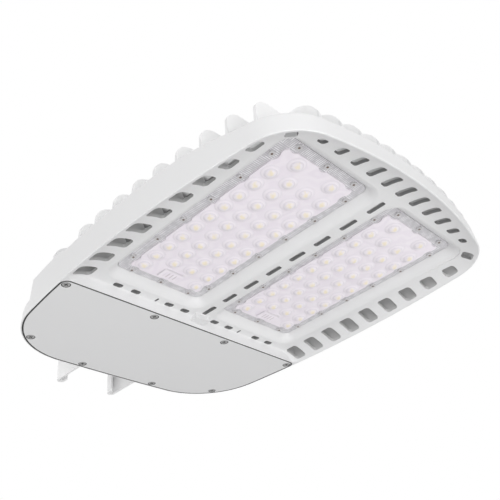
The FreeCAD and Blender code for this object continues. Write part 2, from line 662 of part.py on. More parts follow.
def housing():
    """One casting: rim, dished face, heat sink with fins, driver box, deck and saddle."""
    lean = leaning_body(0, 0, ENVELOPE_H)
    body = lean.common(top_profile())
    body = body.makeFillet(RIM_ROUND, [edge for edge in body.Edges if edge.BoundBox.ZMax < RIM_ROUND / 2])
    wall_edges = [edge for edge in body.Edges if edge.BoundBox.XMin > COVER_X - ROOF_START - PAST
                  and edge.BoundBox.ZMin > FRONT_WALL_H - PAST]
    body = body.makeFillet(EDGE_ROUND, wall_edges)

    # Open air channels between the outer wall and the heat sink
    air = plan_prism(WALL_T, FACE_T, ENVELOPE_H, x_min=COVER_X + REAR_SLOPE_FOOT + WALL_T / 2)
    air = air.cut(dish(FACE_T))
    border = LENS_CLEAR + BEVEL_RUN + BORDER_WALL
    for side in SIDES.values():
        air = air.cut(lens_outline(side, border, 0, FACE_Z + FACE_T))
        air = air.cut(lens_outline(side, LENS_CLEAR + BASE_WALL, 0, BASE_TOP_Z))
    body = body.cut(air)
    sinks = [lens_outline(side, LENS_CLEAR + BASE_WALL, FACE_T, BASE_TOP_Z) for side in SIDES.values()]
    fin_space = leaning_body(FIN_SETBACK, 0, ENVELOPE_H)
    fins = [cross_fin(step) for step in FIN_STEPS] + [front_fin(k) for k in range(FRONT_VENTS + 1)]
    plates = [fin.common(fin_space) for fin in fins]
    ducts = []
    for side in SIDES.values():
        y = side * MODULE_SPACING / 2
        ducts.append(block(COVER_X, LENS_REAR_X, y - DUCT_WIDTH / 2, y + DUCT_WIDTH / 2,
                           FACE_Z, BASE_TOP_Z))
    body = body.multiFuse(sinks + plates + ducts)

    # Saddle for the arm, and posts for the control gear
    x0 = BOX_REAR_X + SADDLE_REAR
    saddle = rounded_block(x0, x0 + SADDLE_LENGTH, -SADDLE_WIDTH / 2, SADDLE_WIDTH / 2,
                           ROOF_REAR_H - ROOF_T, SADDLE_H, 2 * EDGE_ROUND)
    body = body.fuse(saddle)

    # Driver box: pocket of the cover, then the room above it with the screw bosses left standing
    body = body.cut(plan_prism(COVER_RIM, -PAST, LEDGE_Z, x_max=COVER_X, corner=COVER_CORNER_R))
    inset = COVER_RIM + LEDGE_W
    room = plan_prism(inset, LEDGE_Z - PAST, ENVELOPE_H, x_max=COVER_X - LEDGE_W, corner=COVER_CORNER_R)
    room = room.common(top_profile(ROOF_T, ROOF_T))
    for x, y in cover_screw_points():
        room = room.cut(rod(x, y, LEDGE_Z, LEDGE_Z + BOSS_H, BOSS_R))
    for posts in gear_posts().values():
        for x, y in posts:
            room = room.cut(rod(x, y, GEAR_TOP_Z, ENVELOPE_H, POST_R))
    for x, y in arm_bolt_points():
        room = room.cut(rod(x, y, BOLT_END_Z - HOLE_SPARE - ROOF_T, ENVELOPE_H, BOLT_R + ROOF_T))
    body = body.cut(room)

    # Dish, windows and vents
    body = body.cut(dish())
    pad_x = COVER_X + PAD_OFFSET
    body = body.fuse(block(pad_x, pad_x + PAD_LENGTH, -PAD_WIDTH / 2, PAD_WIDTH / 2,
                           PAD_Z, FACE_Z + FACE_T))
    cutters = [window(side) for side in SIDES.values()] + vent_cutters()
    channel = block(LENS_REAR_X - BASE_WALL, LENS_FRONT_X + BASE_WALL, -BAR_CHANNEL / 2, BAR_CHANNEL / 2,
                    FACE_Z + FACE_T, BASE_TOP_Z)
    cutters.append(channel)

    # Screw holes, wire ducts and the gland hole
    for side in SIDES.values():
        for x, y in lens_screw_points(side):
            top = FLANGE_Z + LENS_SCREW_LENGTH + HOLE_SPARE
            cutters.append(rod(x, y, SEAT_Z - PAST, top, LENS_SCREW_R + SCREW_CLEAR))
    for x, y in cover_screw_points():
        top = COVER_SINK_DEPTH + COVER_SCREW_LENGTH + HOLE_SPARE
        cutters.append(rod(x, y, LEDGE_Z - PAST, top, COVER_SCREW_R + SCREW_CLEAR))
    for x, y in arm_bolt_points():
        cutters.append(rod(x, y, BOLT_END_Z - HOLE_SPARE, SADDLE_H + PAST, BOLT_R + SCREW_CLEAR))
    for posts in gear_posts().values():
        for x, y in posts:
            top = GEAR_TOP_Z - TAB_T + GEAR_SCREW_LENGTH + HOLE_SPARE
            cutters.append(rod(x, y, GEAR_TOP_Z - PAST, top, GEAR_SCREW_R + SCREW_CLEAR))
    cutters.append(Part.makeCylinder(GLAND_R + SCREW_CLEAR, 3 * ROOF_T,
                                     Vector(BOX_REAR_X - ROOF_T, 0, GLAND_Z), Vector(1, 0, 0)))
    for side in SIDES.values():
        start = duct_axis(side, COVER_X - 2 * LEDGE_W)
        end = duct_axis(side, lead_hole_x())
        cutters.append(Part.makeCylinder(LEAD_HOLE_R, end.x - start.x, start, Vector(1, 0, 0)))
        cutters.append(rod(end.x, end.y, SEAT_Z - PAST, end.z, LEAD_HOLE_R))
    return body.cut(cutters).removeSplitter()


# Lens modules
def cap(foot_r, height):
    """Ball cap on a short round foot, its crown at Z = -height and its foot let into the plate."""
    radius = (foot_r ** 2 + height ** 2) / (2 * height)
    ball = Part.makeSphere(radius, Vector(0, 0, radius - height), UP)
    return ball.common(rod(0, 0, -height, 0, foot_r)).fuse(rod(0, 0, 0, FIELD_RISE + FLANGE_T / 2, foot_r))


def dome():
    """One lens: a wide flat dome with a narrower crown on it."""
    return fused(cap(DOME_R, DOME_H), [cap(CROWN_R, CROWN_H)])


def connector_box(side, grow, z0, z1):
    """Block at a module's wire connector, grown all round."""
    x = LENS_REAR_X + GRID_REAR_MARGIN
    y = side * MODULE_SPACING / 2
    return block(x - CONNECTOR_WIDTH / 2 - grow, x + CONNECTOR_WIDTH / 2 + grow,
                 y - CONNECTOR_LENGTH / 2 - grow, y + CONNECTOR_LENGTH / 2 + grow, z0, z1)


def lens_plate(side):
    """Clear lens plate: flange, scalloped field, lens domes and the hood over the wire connector."""
    y = side * MODULE_SPACING / 2
    half = LENS_WIDTH / 2 - FIELD_INSET
    field = rounded_block(LENS_REAR_X + FIELD_INSET, LENS_FRONT_X - FIELD_INSET, y - half, y + half,
                          FIELD_Z, FLANGE_Z, FIELD_CORNER_R)
    screws = lens_screw_points(side)
    field = field.cut([rod(px, py, FIELD_Z - PAST, FLANGE_Z, SCALLOP_R) for px, py in screws])
    pocket_z = BOARD_Z - CONNECTOR_H - CONNECTOR_CLEAR
    hood = connector_box(side, CONNECTOR_CLEAR + HOOD_WALL, pocket_z - HOOD_WALL, FLANGE_Z)
    hood = hood.makeFillet(HOOD_WALL, upright_edges(hood))
    lens = dome()
    lenses = []
    for px, py in lens_points(side):
        copy = lens.copy()
        copy.translate(Vector(px, py, FIELD_Z))
        lenses.append(copy)
    plate = lens_outline(side, 0, FLANGE_Z, GASKET_Z)
    plate = fused(plate, [field, hood] + lenses)
    holes = [rod(px, py, FIELD_Z, GASKET_Z + PAST, LENS_SCREW_R + HOLE_CLEAR) for px, py in screws]
    holes.append(connector_box(side, CONNECTOR_CLEAR, pocket_z, GASKET_Z + PAST))
    return plate.cut(holes)


def gasket_room(side, grow, z0, z1):
    """Rounded prism of the space inside a lens gasket, grown all round."""
    y = side * MODULE_SPACING / 2
    half = LENS_WIDTH / 2 - LENS_GASKET_W + grow
    return rounded_block(LENS_REAR_X + LENS_GASKET_W - grow, LENS_FRONT_X - LENS_GASKET_W + grow,
                         y - half, y + half, z0, z1, FIELD_CORNER_R + grow)


def lens_gasket(side):
    """Silicone frame between a lens plate and the heat sink."""
    ring = lens_outline(side, 0, GASKET_Z, SEAT_Z).cut(gasket_room(side, 0, GASKET_Z, SEAT_Z))
    return ring.cut([rod(x, y, GASKET_Z - PAST, SEAT_Z + PAST, LENS_SCREW_R + HOLE_CLEAR)
                     for x, y in lens_screw_points(side)])


def led_board(side):
    """Metal-core board, with a hole for the leads."""
    board = gasket_room(side, -BOARD_CLEAR, BOARD_Z, SEAT_Z)
    hole = duct_axis(side, lead_hole_x())
    return board.cut(rod(hole.x, hole.y, BOARD_Z - PAST, SEAT_Z + PAST, LEAD_HOLE_R))


def led_chips(side):
    """LED packages on the board, one behind each lens."""
    half = CHIP_SIZE / 2
    chips = [block(x - half, x + half, y - half, y + half, CHIP_Z, BOARD_Z) for x, y in lens_points(side)]
    return Part.makeCompound(chips)


def board_connector(side):
    """Two-way wire connector under the board, with its sockets towards the driver box."""
    body = connector_box(side, 0, BOARD_Z - CONNECTOR_H, BOARD_Z)
    x = LENS_REAR_X + GRID_REAR_MARGIN - CONNECTOR_WIDTH / 2
    middle = BOARD_Z - CONNECTOR_H / 2
    half = CONNECTOR_H / 4
    sockets = []
    for sign in (-1, 1):
        y = side * MODULE_SPACING / 2 + sign * CONNECTOR_LENGTH / 4
        sockets.append(block(x - PAST, x + CONNECTOR_WIDTH / 2, y - half, y + half,
                             middle - half, middle + half))
    return body.cut(sockets)


def headed_screw(x, y, head_z, head_h, head_r, length, radius):
    """Screw driven upwards: head below head_z, shank above it."""
    head = rod(x, y, head_z - head_h, head_z, head_r)
    return fused(head, [rod(x, y, head_z, head_z + length, radius)])


def lens_screws(side):
    return Part.makeCompound([headed_screw(x, y, FLANGE_Z, LENS_HEAD_H, LENS_HEAD_R, LENS_SCREW_LENGTH,
                                           LENS_SCREW_R) for x, y in lens_screw_points(side)])


# Driver cover
def driver_cover():
    """Flat cover plate with counterbored screw holes."""
    inset = COVER_RIM + GASKET_GAP
    plate = plan_prism(inset, 0, COVER_T, x_max=COVER_X - GASKET_GAP, corner=COVER_CORNER_R - GASKET_GAP)
    holes = []
    for x, y in cover_screw_points():
        holes.append(rod(x, y, -PAST, COVER_SINK_DEPTH, COVER_SINK_R))
        holes.append(rod(x, y, COVER_SINK_DEPTH, COVER_T + PAST, COVER_SCREW_R + HOLE_CLEAR))
    return plate.cut(holes)


def cover_gasket():
    """Rubber ring under the cover's edge; its lip fills the gap round the cover."""
    outer = COVER_RIM + GASKET_CLEAR
    edge = COVER_X - GASKET_CLEAR
    corner = COVER_CORNER_R - GASKET_CLEAR
    ring = plan_prism(outer, COVER_T, LEDGE_Z, x_max=edge, corner=corner)
    ring = ring.cut(plan_prism(COVER_RIM + GASKET_W, COVER_T, LEDGE_Z, x_max=COVER_X - GASKET_W,
                               corner=COVER_CORNER_R - GASKET_W / 2))
    ears = [rod(x, y, COVER_T, LEDGE_Z, BOSS_R) for x, y in cover_screw_points()]
    lip_inner = COVER_RIM + GASKET_GAP - GASKET_CLEAR
    lip = plan_prism(outer, GASKET_CLEAR, COVER_T, x_max=edge, corner=corner)
    lip = lip.cut(plan_prism(lip_inner, GASKET_CLEAR, COVER_T, x_max=COVER_X - GASKET_GAP + GASKET_CLEAR,
                             corner=COVER_CORNER_R - GASKET_GAP + GASKET_CLEAR))
    ring = fused(ring, ears + [lip])
    return ring.cut([rod(x, y, 0, LEDGE_Z + PAST, COVER_SCREW_R + HOLE_CLEAR)
                     for x, y in cover_screw_points()])


def cover_screws():
    return Part.makeCompound([headed_screw(x, y, COVER_SINK_DEPTH, COVER_HEAD_H, COVER_HEAD_R,
                                           COVER_SCREW_LENGTH, COVER_SCREW_R)
                              for x, y in cover_screw_points()])


# Control gear
def gear_case(size, middle_y, posts):
    """Case with a screw tab at each end, hung from two posts."""
    x = COVER_X - GEAR_X_OFFSET
    length, width, height = size
    case = block(x - length / 2, x + length / 2, middle_y - width / 2, middle_y + width / 2,
                 GEAR_TOP_Z - height, GEAR_TOP_Z)
    case = case.makeFillet(CASE_ROUND, upright_edges(case))
    reach = width / 2 + TAB_LENGTH
    tab = block(x - TAB_LENGTH / 2, x + TAB_LENGTH / 2, middle_y - reach, middle_y + reach,
                GEAR_TOP_Z - TAB_T, GEAR_TOP_Z)
    tab = tab.makeFillet(CASE_ROUND, upright_edges(tab))
    case = fused(case, [tab])
    return case.cut([rod(px, py, 0, GEAR_TOP_Z + PAST, GEAR_SCREW_R + HOLE_CLEAR) for px, py in posts])


def terminal_block():
    """Terminal block with a row of screw wells and wire entries."""
    case = gear_case(TERMINAL_SIZE, TERMINAL_Y, gear_posts()["terminal"])
    x = COVER_X - GEAR_X_OFFSET
    length, width, height = TERMINAL_SIZE
    low = GEAR_TOP_Z - height
    pitch = width / TERMINAL_WAYS
    cuts = []
    for k in range(TERMINAL_WAYS):
        y = TERMINAL_Y + (k - (TERMINAL_WAYS - 1) / 2) * pitch
        cuts.append(rod(x, y, low - PAST, low + height / 2, pitch / 4))
        for end in (-1, 1):
            start = Vector(x + end * length / 2, y, GEAR_TOP_Z - height / 2)
            cuts.append(Part.makeCylinder(pitch / 4, length / 6, start, Vector(-end, 0, 0)))
    return case.cut(cuts)


def gear_screws(name):
    return Part.makeCompound([headed_screw(x, y, GEAR_TOP_Z - TAB_T, GEAR_HEAD_H, GEAR_HEAD_R,
                                           GEAR_SCREW_LENGTH, GEAR_SCREW_R)
                              for x, y in gear_posts()[name]])


# Cable gland and lead grommets
def turned(profile, base, axis):
    """Solid of revolution about axis through base, from (along, radius) points."""
    points = [Vector(along, radius, 0) for along, radius in profile]
    solid = Part.Face(Part.makePolygon(points + points[:1])).revolve(Vector(0, 0, 0), Vector(1, 0, 0), 360)
    turn = FreeCAD.Rotation(Vector(1, 0, 0), axis)
    solid.Placement = FreeCAD.Placement(base, turn)
    return solid


def cable_gland():
    """Gland in the rear wall of the box: threaded end, flange and domed cap, with a clear bore."""
    thread = ROOF_T + GLAND_NUT_T + HOLE_SPARE
    cap = GLAND_FLANGE_R - GLAND_STEP
    flange = GLAND_LENGTH / 4
    profile = [(-thread, GLAND_BORE_R), (-thread, GLAND_R), (0, GLAND_R), (0, GLAND_FLANGE_R),
               (flange, GLAND_FLANGE_R), (flange, cap), (3 * flange, cap),
               (GLAND_LENGTH, GLAND_BORE_R + GLAND_STEP), (GLAND_LENGTH, GLAND_BORE_R)]
    return turned(profile, Vector(BOX_REAR_X, 0, GLAND_Z), Vector(-1, 0, 0))


def gland_locknut():
    """Hexagon nut on the gland's thread, inside the box."""
    nut = hexagon(0, 0, 0, GLAND_NUT_T, GLAND_NUT_AF)
    nut = nut.cut(rod(0, 0, -PAST, GLAND_NUT_T + PAST, GLAND_R + SCREW_CLEAR))
    nut.rotate(Vector(0, 0, 0), Vector(0, 1, 0), 90)
    nut.translate(Vector(BOX_REAR_X + ROOF_T, 0, GLAND_Z))
    return nut


def lead_grommet(side):
    """Rubber grommet in the mouth of a lead duct, inside the driver box."""
    body = LEAD_HOLE_R - SCREW_CLEAR
    lip = body + GROMMET_LIP
    profile = [(-GROMMET_LENGTH, GROMMET_BORE_R), (-GROMMET_LENGTH, body), (0, body), (0, lip),
               (GROMMET_LIP_T, lip), (GROMMET_LIP_T, GROMMET_BORE_R)]
    return turned(profile, duct_axis(side, COVER_X - LEDGE_W), Vector(-1, 0, 0))


# Arm bracket
def long_top_edges(solid):
    """Top edges that run along X."""
    top = solid.BoundBox.ZMax
    return [edge for edge in solid.Edges if edge.CenterOfMass.z > top - 1e-3
            and abs(edge.tangentAt(edge.FirstParameter).x) > 0.999]


def rear_edges(solid):
    """Upright edges at a solid's rear end."""
    rear = solid.BoundBox.XMin
    return [edge for edge in upright_edges(solid) if edge.CenterOfMass.x < rear + PAST]


def rear_hook(side):
    """Bent end of a cheek: turned in and then forward again."""
    half = ARM_WIDTH / 2
    inside = half - ARM_HOOK_WIDTH
    front = TAIL_X + ARM_HOOK_LENGTH
    z1 = SADDLE_H - ARM_T
    outer = block(TAIL_X, front, inside, half, ARM_BOTTOM_Z, z1)
    outer = outer.makeFillet(ARM_BEND_R + ARM_T, rear_edges(outer))
    inner = block(TAIL_X + ARM_T, front + PAST, inside + ARM_T, half - ARM_T, ARM_BOTTOM_Z, z1)
    hook = outer.cut(inner.makeFillet(ARM_BEND_R, rear_edges(inner)))
    if side < 0:
        hook = hook.mirror(Vector(0, 0, 0), Vector(0, 1, 0))
    return hook


def pole_hole_points():
    """Holes of the web for bolts to a pole arm."""
    x = TAIL_X + ARM_HOLE_OFFSET
    return [(x + i * ARM_HOLE_SPACING_X / 2, j * ARM_HOLE_SPACING_Y / 2) for i in (-1, 1) for j in (-1, 1)]


def mount_bracket():
    """Folded sheet arm: web on the saddle, with holes behind it, and two cheeks that end in hooks."""
    half = ARM_WIDTH / 2
    front = BOX_REAR_X + SADDLE_REAR + SADDLE_LENGTH
    outer = block(TAIL_X, front, -half, half, ARM_BOTTOM_Z, SADDLE_H + ARM_T)
    outer = outer.makeFillet(ARM_BEND_R + ARM_T, long_top_edges(outer))
    inner = block(TAIL_X - PAST, front + PAST, ARM_T - half, half - ARM_T, ARM_BOTTOM_Z - PAST, SADDLE_H)
    inner = inner.makeFillet(ARM_BEND_R, long_top_edges(inner))
    arm = outer.cut(inner)
    cuts = [block(BOX_REAR_X - ARM_DECK_GAP, front + PAST, -REACH, REACH, 0, SADDLE_H),
            block(REAR_X - ARM_DECK_GAP, BOX_REAR_X, -REACH, REACH, 0, DECK_H + ARM_DECK_GAP),
            block(TAIL_X - PAST, TAIL_X + ARM_HOOK_LENGTH, -REACH, REACH, 0, SADDLE_H - ARM_T)]
    arm = fused(arm.cut(cuts), [rear_hook(side) for side in SIDES.values()])
    holes = []
    for points, radius in ((arm_bolt_points(), BOLT_R + BOLT_CLEAR), (pole_hole_points(), ARM_HOLE_R)):
        holes.extend(rod(x, y, SADDLE_H - PAST, SADDLE_H + ARM_T + PAST, radius) for x, y in points)
    return arm.cut(holes)


def bracket_bolts():
    """Hexagon bolts through the web into the saddle."""
    bolts = []
    for x, y in arm_bolt_points():
        head = hexagon(x, y, BOLT_SEAT_Z, BOLT_SEAT_Z + BOLT_HEAD_H, BOLT_HEAD_AF)
        bolts.append(fused(head, [rod(x, y, BOLT_END_Z, BOLT_SEAT_Z, BOLT_R)]))
    return Part.makeCompound(bolts)


def bracket_washers():
    low = SADDLE_H + ARM_T
    washers = []
    for x, y in arm_bolt_points():
        hole = rod(x, y, low - PAST, BOLT_SEAT_Z + PAST, BOLT_R + BOLT_CLEAR)
        washers.append(rod(x, y, low, BOLT_SEAT_Z, WASHER_R).cut(hole))
    return Part.makeCompound(washers)


# All pieces by name
def pieces():
    posts = gear_posts()
    made = {
        "housing": housing(),
        "driver_cover": driver_cover(),
        "cover_gasket": cover_gasket(),
        "cover_screws": cover_screws(),
        "led_driver": gear_case(DRIVER_SIZE, DRIVER_Y, posts["driver"]),
        "surge_protector": gear_case(SURGE_SIZE, SURGE_Y, posts["surge"]),
        "terminal_block": terminal_block(),
        "driver_screws": gear_screws("driver"),
        "surge_screws": gear_screws("surge"),
        "terminal_screws": gear_screws("terminal"),
        "cable_gland": cable_gland(),
        "gland_locknut": gland_locknut(),
        "mount_bracket": mount_bracket(),
        "bracket_bolts": bracket_bolts(),
        "bracket_washers": bracket_washers(),
    }
    for name, side in SIDES.items():
        made["lens_plate_" + name] = lens_plate(side)
        made["lens_gasket_" + name] = lens_gasket(side)
        made["lens_screws_" + name] = lens_screws(side)
        made["led_board_" + name] = led_board(side)
        made["led_chips_" + name] = led_chips(side)
        made["board_connector_" + name] = board_connector(side)
        made["lead_grommet_" + name] = lead_grommet(side)
    return made


if __name__ == "__main__":
    os.makedirs("parts", exist_ok=True)
    for node, shape in pieces().items():
        shape.exportStep("parts/" + node + ".step")
        print(node, "valid" if shape.isValid() else "INVALID", len(shape.Solids), round(shape.Volume))
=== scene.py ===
import math

import bmesh
import bpy
import numpy as np
from mathutils import Matrix, Vector


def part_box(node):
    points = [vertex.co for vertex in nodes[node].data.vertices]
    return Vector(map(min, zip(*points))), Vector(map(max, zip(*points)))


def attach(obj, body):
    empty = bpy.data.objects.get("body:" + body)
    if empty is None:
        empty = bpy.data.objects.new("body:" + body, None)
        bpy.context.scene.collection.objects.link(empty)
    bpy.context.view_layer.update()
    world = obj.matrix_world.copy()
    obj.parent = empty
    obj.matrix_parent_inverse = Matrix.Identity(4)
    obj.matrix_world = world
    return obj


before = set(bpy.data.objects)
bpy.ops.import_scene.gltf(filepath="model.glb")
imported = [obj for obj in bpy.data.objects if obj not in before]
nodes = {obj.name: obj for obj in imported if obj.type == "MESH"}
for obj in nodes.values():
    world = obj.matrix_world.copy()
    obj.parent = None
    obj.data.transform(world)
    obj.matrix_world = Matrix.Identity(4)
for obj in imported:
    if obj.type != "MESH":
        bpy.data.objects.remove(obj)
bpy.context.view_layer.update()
scene = bpy.context.scene

# Sizes of the CAD model that the looks follow, in metres
FRONT_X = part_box("housing")[1].x
HALF_WIDTH = 0.1785
FRONT_ARC_R, SIDE_ARC_R, CORNER_R = 0.520, 1.320, 0.057
WIDEST_X = FRONT_X - 0.242
COVER_X = FRONT_X - 0.3152
FACE_Z, FACE_T, DISH_RUN, RIM_LAND = 0.0104, 0.004, 0.033, 0.0016
WALL_INSET = 0.0042            # from the outline to just inside the outer wall
WALL_TOP_FRONT, WALL_TOP_SIDE = 0.0215, 0.040
WALL_RISE_X, WALL_FULL_X = FRONT_X - 0.0073, FRONT_X - 0.1743
LENS_LO, LENS_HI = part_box("lens_plate_left")
LENS_MID_X = (LENS_LO.x + LENS_HI.x) / 2
LENS_MID_Y = (LENS_LO.y + LENS_HI.y) / 2
LENS_HALF_X = (LENS_HI.x - LENS_LO.x) / 2
LENS_HALF_Y = (LENS_HI.y - LENS_LO.y) / 2
LENS_RIB_BAND = 0.0095         # width of the flange at the ends, where the ribs turn
RIB_PITCH = 0.0021
BORDER = 0.0107                # of the lens windows
SEAT_Z = 0.0252
SINK_R = 0.0052                # counterbores of the cover
FLANGE_Z, FIELD_Z = 0.0195, 0.018
GRID_X = LENS_LO.x + 0.0212
ROW_PITCH, COLUMN_PITCH = 0.020, 0.0238
FRONT_LENS_X = GRID_X + 9 * ROW_PITCH + 0.0212
DOME_R, CROWN_R = 0.0094, 0.0063
HOOD_HALF_X, HOOD_HALF_Y = 0.0078, 0.0133
LEAD_PITCH = 0.0045
LED_SHIFT = (0.0016, -0.0012)  # how far the LED's image lies from a dome's middle
HEAD_REACH = 0.011             # more than a screw head, less than the way to the next
SKIN = 0.0001                  # tolerance to tell one surface from another


# Materials
class Shader:
    """A Principled material and short calls to add nodes to it."""

    def __init__(self, name, color, roughness, metallic=0.0):
        self.mat = bpy.data.materials.new(name)
        self.mat.use_nodes = True
        self.tree = self.mat.node_tree
        self.bsdf = self.tree.nodes["Principled BSDF"]
        self.bsdf.inputs["Base Color"].default_value = (*color, 1)
        self.bsdf.inputs["Roughness"].default_value = roughness
        self.bsdf.inputs["Metallic"].default_value = metallic
        self.position = self.add("ShaderNodeNewGeometry").outputs["Position"]

    def add(self, kind, **settings):
        node = self.tree.nodes.new(kind)
        for key, value in settings.items():
            setattr(node, key, value)
        return node

    def plug(self, source, socket):
        if isinstance(source, bpy.types.NodeSocket):
            self.tree.links.new(source, socket)
        else:
            socket.default_value = source

    def math(self, operation, *values):
        node = self.add("ShaderNodeMath", operation=operation)
        for value, socket in zip(values, node.inputs):
            self.plug(value, socket)
        return node.outputs[0]

    def axes(self):
        node = self.add("ShaderNodeSeparateXYZ")
        self.plug(self.position, node.inputs[0])
        return node.outputs

    def noise(self, scale, detail=3.0):
        node = self.add("ShaderNodeTexNoise")
        self.plug(self.position, node.inputs["Vector"])
        node.inputs["Scale"].default_value = scale
        node.inputs["Detail"].default_value = detail
        return node.outputs["Fac"]

    def step(self, value, low, high, out_low=0.0, out_high=1.0):
        node = self.add("ShaderNodeMapRange", interpolation_type="SMOOTHSTEP")
        for source, socket in zip((value, low, high, out_low, out_high), node.inputs):
            self.plug(source, socket)
        return node.outputs[0]

    def mix(self, factor, first, second):
        node = self.add("ShaderNodeMix", data_type="RGBA")
        self.plug(factor, node.inputs["Factor"])
        for value, socket in ((first, node.inputs[6]), (second, node.inputs[7])):
            self.plug(value if isinstance(value, bpy.types.NodeSocket) else (*value, 1), socket)
        return node.outputs[2]

    def color(self, source):
        self.plug(source, self.bsdf.inputs["Base Color"])

    def board_normal(self, share):
        """Surface normal turned towards the flat board that shines through a clear lens."""
        normal = self.position.node.outputs["Normal"]
        for operation, socket, by in (("SCALE", "Scale", 1 - share), ("ADD", 1, (0, 0, -share)),
                                      ("NORMALIZE", None, None)):
            node = self.add("ShaderNodeVectorMath", operation=operation)
            self.plug(normal, node.inputs[0])
            if socket:
                node.inputs[socket].default_value = by
            normal = node.outputs[0]
        return normal

    def bump(self, height, strength, distance, normal=None):
        node = self.add("ShaderNodeBump")
        if normal:
            self.plug(normal, node.inputs["Normal"])
        node.inputs["Strength"].default_value = strength
        node.inputs["Distance"].default_value = distance
        self.plug(height, node.inputs["Height"])
        self.plug(node.outputs[0], self.bsdf.inputs["Normal"])


def painted(name, color, roughness, grain=900.0, strength=0.12, shade=0.97):
    """Powder coat: fine orange peel and a slow drift of tone."""
    s = Shader(name, color, roughness)
    s.color(s.mix(s.noise(14.0), [c * shade for c in color], color))
    s.bump(s.noise(grain), strength, 0.0002)
    return s


def metal(name, color, roughness, grain=1500.0):
    """Plated fastener: cloudy tone and fine scratches."""
    s = Shader(name, color, roughness, 1.0)
    s.color(s.mix(s.noise(260.0), [c * 0.75 for c in color], color))
    s.bump(s.noise(grain), 0.15, 0.0001)
    return s


def moulded(name, color, roughness, grain=1200.0):
    """Moulded plastic or rubber with a fine matt texture."""
    s = Shader(name, color, roughness)
    s.color(s.mix(s.noise(90.0), [c * 0.88 for c in color], color))
    s.bump(s.noise(grain), 0.2, 0.0002)
    return s


WHITE = (0.84, 0.84, 0.845)
# The second white is the same paint made lighter, a painted light on the fins and the bracket.
LIT_WHITE = (0.95, 0.95, 0.952)
white_paint = painted("white_paint", WHITE, 0.42).mat
bracket_lit_paint = painted("bracket_lit_paint", LIT_WHITE, 0.42).mat
cover_paint = painted("cover_paint", (0.82, 0.82, 0.825), 0.55, shade=0.985).mat
black_rubber = moulded("black_rubber", (0.03, 0.03, 0.03), 0.7).mat
silicone = moulded("grey_silicone", (0.5, 0.5, 0.52), 0.6).mat
steel = metal("steel", (0.62, 0.62, 0.63), 0.34).mat
zinc = moulded("zinc", (0.42, 0.42, 0.42), 0.4).mat
bright_zinc = moulded("bright_zinc", (0.66, 0.65, 0.66), 0.35).mat
# dark inlays that paint the shade in the screws' drive recesses
recess_shade_black = moulded("recess_shade_black", (0.03, 0.028, 0.027), 0.6).mat
recess_shade_brown = moulded("recess_shade_brown", (0.14, 0.085, 0.065), 0.6).mat
# painted shade for the counterbores of the cover
counterbore_shade = moulded("counterbore_shade", (0.10, 0.10, 0.10), 0.6).mat
board_white = painted("white_board", (0.86, 0.86, 0.86), 0.35).mat
phosphor = moulded("led_phosphor", (0.9, 0.82, 0.55), 0.4).mat
pale_plastic = moulded("pale_plastic", (0.75, 0.75, 0.72), 0.5).mat
black_plastic = moulded("black_plastic", (0.045, 0.045, 0.047), 0.5).mat
driver_case = metal("driver_case", (0.68, 0.68, 0.69), 0.45).mat
surge_case = moulded("surge_case", (0.25, 0.27, 0.31), 0.5).mat


def vent_shade_paint():
    """Painted shade on the edges of the vents: grey, with a random drift of tone."""
    s = Shader("vent_shade_paint", (0.26, 0.26, 0.262), 0.6)
    s.color(s.mix(s.noise(60.0), (0.22, 0.22, 0.222), (0.28, 0.28, 0.282)))
    s.bump(s.noise(900.0), 0.12, 0.0002)
    return s.mat


def cavity_shade_paint(name, near, deep):
    """Painted shade in the gaps behind the face, darker with depth up to the height of the outer
    wall; above it the lighter white of the fins.
    """
    s = Shader(name, WHITE, 0.6)
    x, _, z = s.axes()
    wall = s.step(x, WALL_RISE_X, WALL_FULL_X, WALL_TOP_FRONT, WALL_TOP_SIDE)
    open_air = s.step(s.math("SUBTRACT", z, wall), -0.006, 0.001)
    # painted shade near the face, with a random drift of tone
    near_shade = s.mix(s.noise(60.0), (near - 0.04,) * 3, (near + 0.04,) * 3)
    inside = s.mix(s.step(z, 0.014, 0.034), near_shade, (deep,) * 3)
    s.color(s.mix(open_air, inside, LIT_WHITE))
    s.bump(s.noise(900.0), 0.12, 0.0002)
    return s.mat


def lens_material(name, origin, pitch):
    """Clear lens domes: a cream spot for the LED, and soft painted shade at the feet of crown and
    dome.
    """
    s = Shader(name, (0.80, 0.76, 0.80), 0.3)
    offsets = []
    for axis, start, step in zip(s.axes(), origin, pitch):
        shifted = s.math("SUBTRACT", axis, start - step / 2)
        cell = s.math("WRAP", shifted, step, 0.0)
        offsets.append(s.math("SUBTRACT", cell, step / 2))

    def radius(shift):
        squares = [s.math("POWER", s.math("SUBTRACT", axis, by), 2.0)
                   for axis, by in zip(offsets, shift)]
        return s.math("SQRT", s.math("ADD", *squares))

    from_middle = radius((0.0, 0.0))
    # painted shade, darker towards the feet of crown and dome
    foot_shade = s.step(from_middle, DOME_R - 0.0024, DOME_R)
    foot = s.mix(foot_shade, (0.97, 0.92, 0.975), (0.87, 0.82, 0.88))
    crown_shade = s.step(from_middle, CROWN_R - 0.0021, CROWN_R)
    crown = s.mix(crown_shade, (0.96, 0.91, 0.965), (0.84, 0.79, 0.85))
    body = s.mix(s.step(from_middle, CROWN_R, CROWN_R + 0.0003), crown, foot)
    ragged = s.math("MULTIPLY_ADD", s.noise(450.0), 0.0050, -0.0025)
    spot = s.step(s.math("ADD", radius(LED_SHIFT), ragged), 0.0006, 0.0040)
    s.color(s.mix(spot, (0.93, 0.84, 0.66), body))
    s.bump(s.noise(700.0), 0.05, 0.0001, s.board_normal(0.5))
    return s.mat


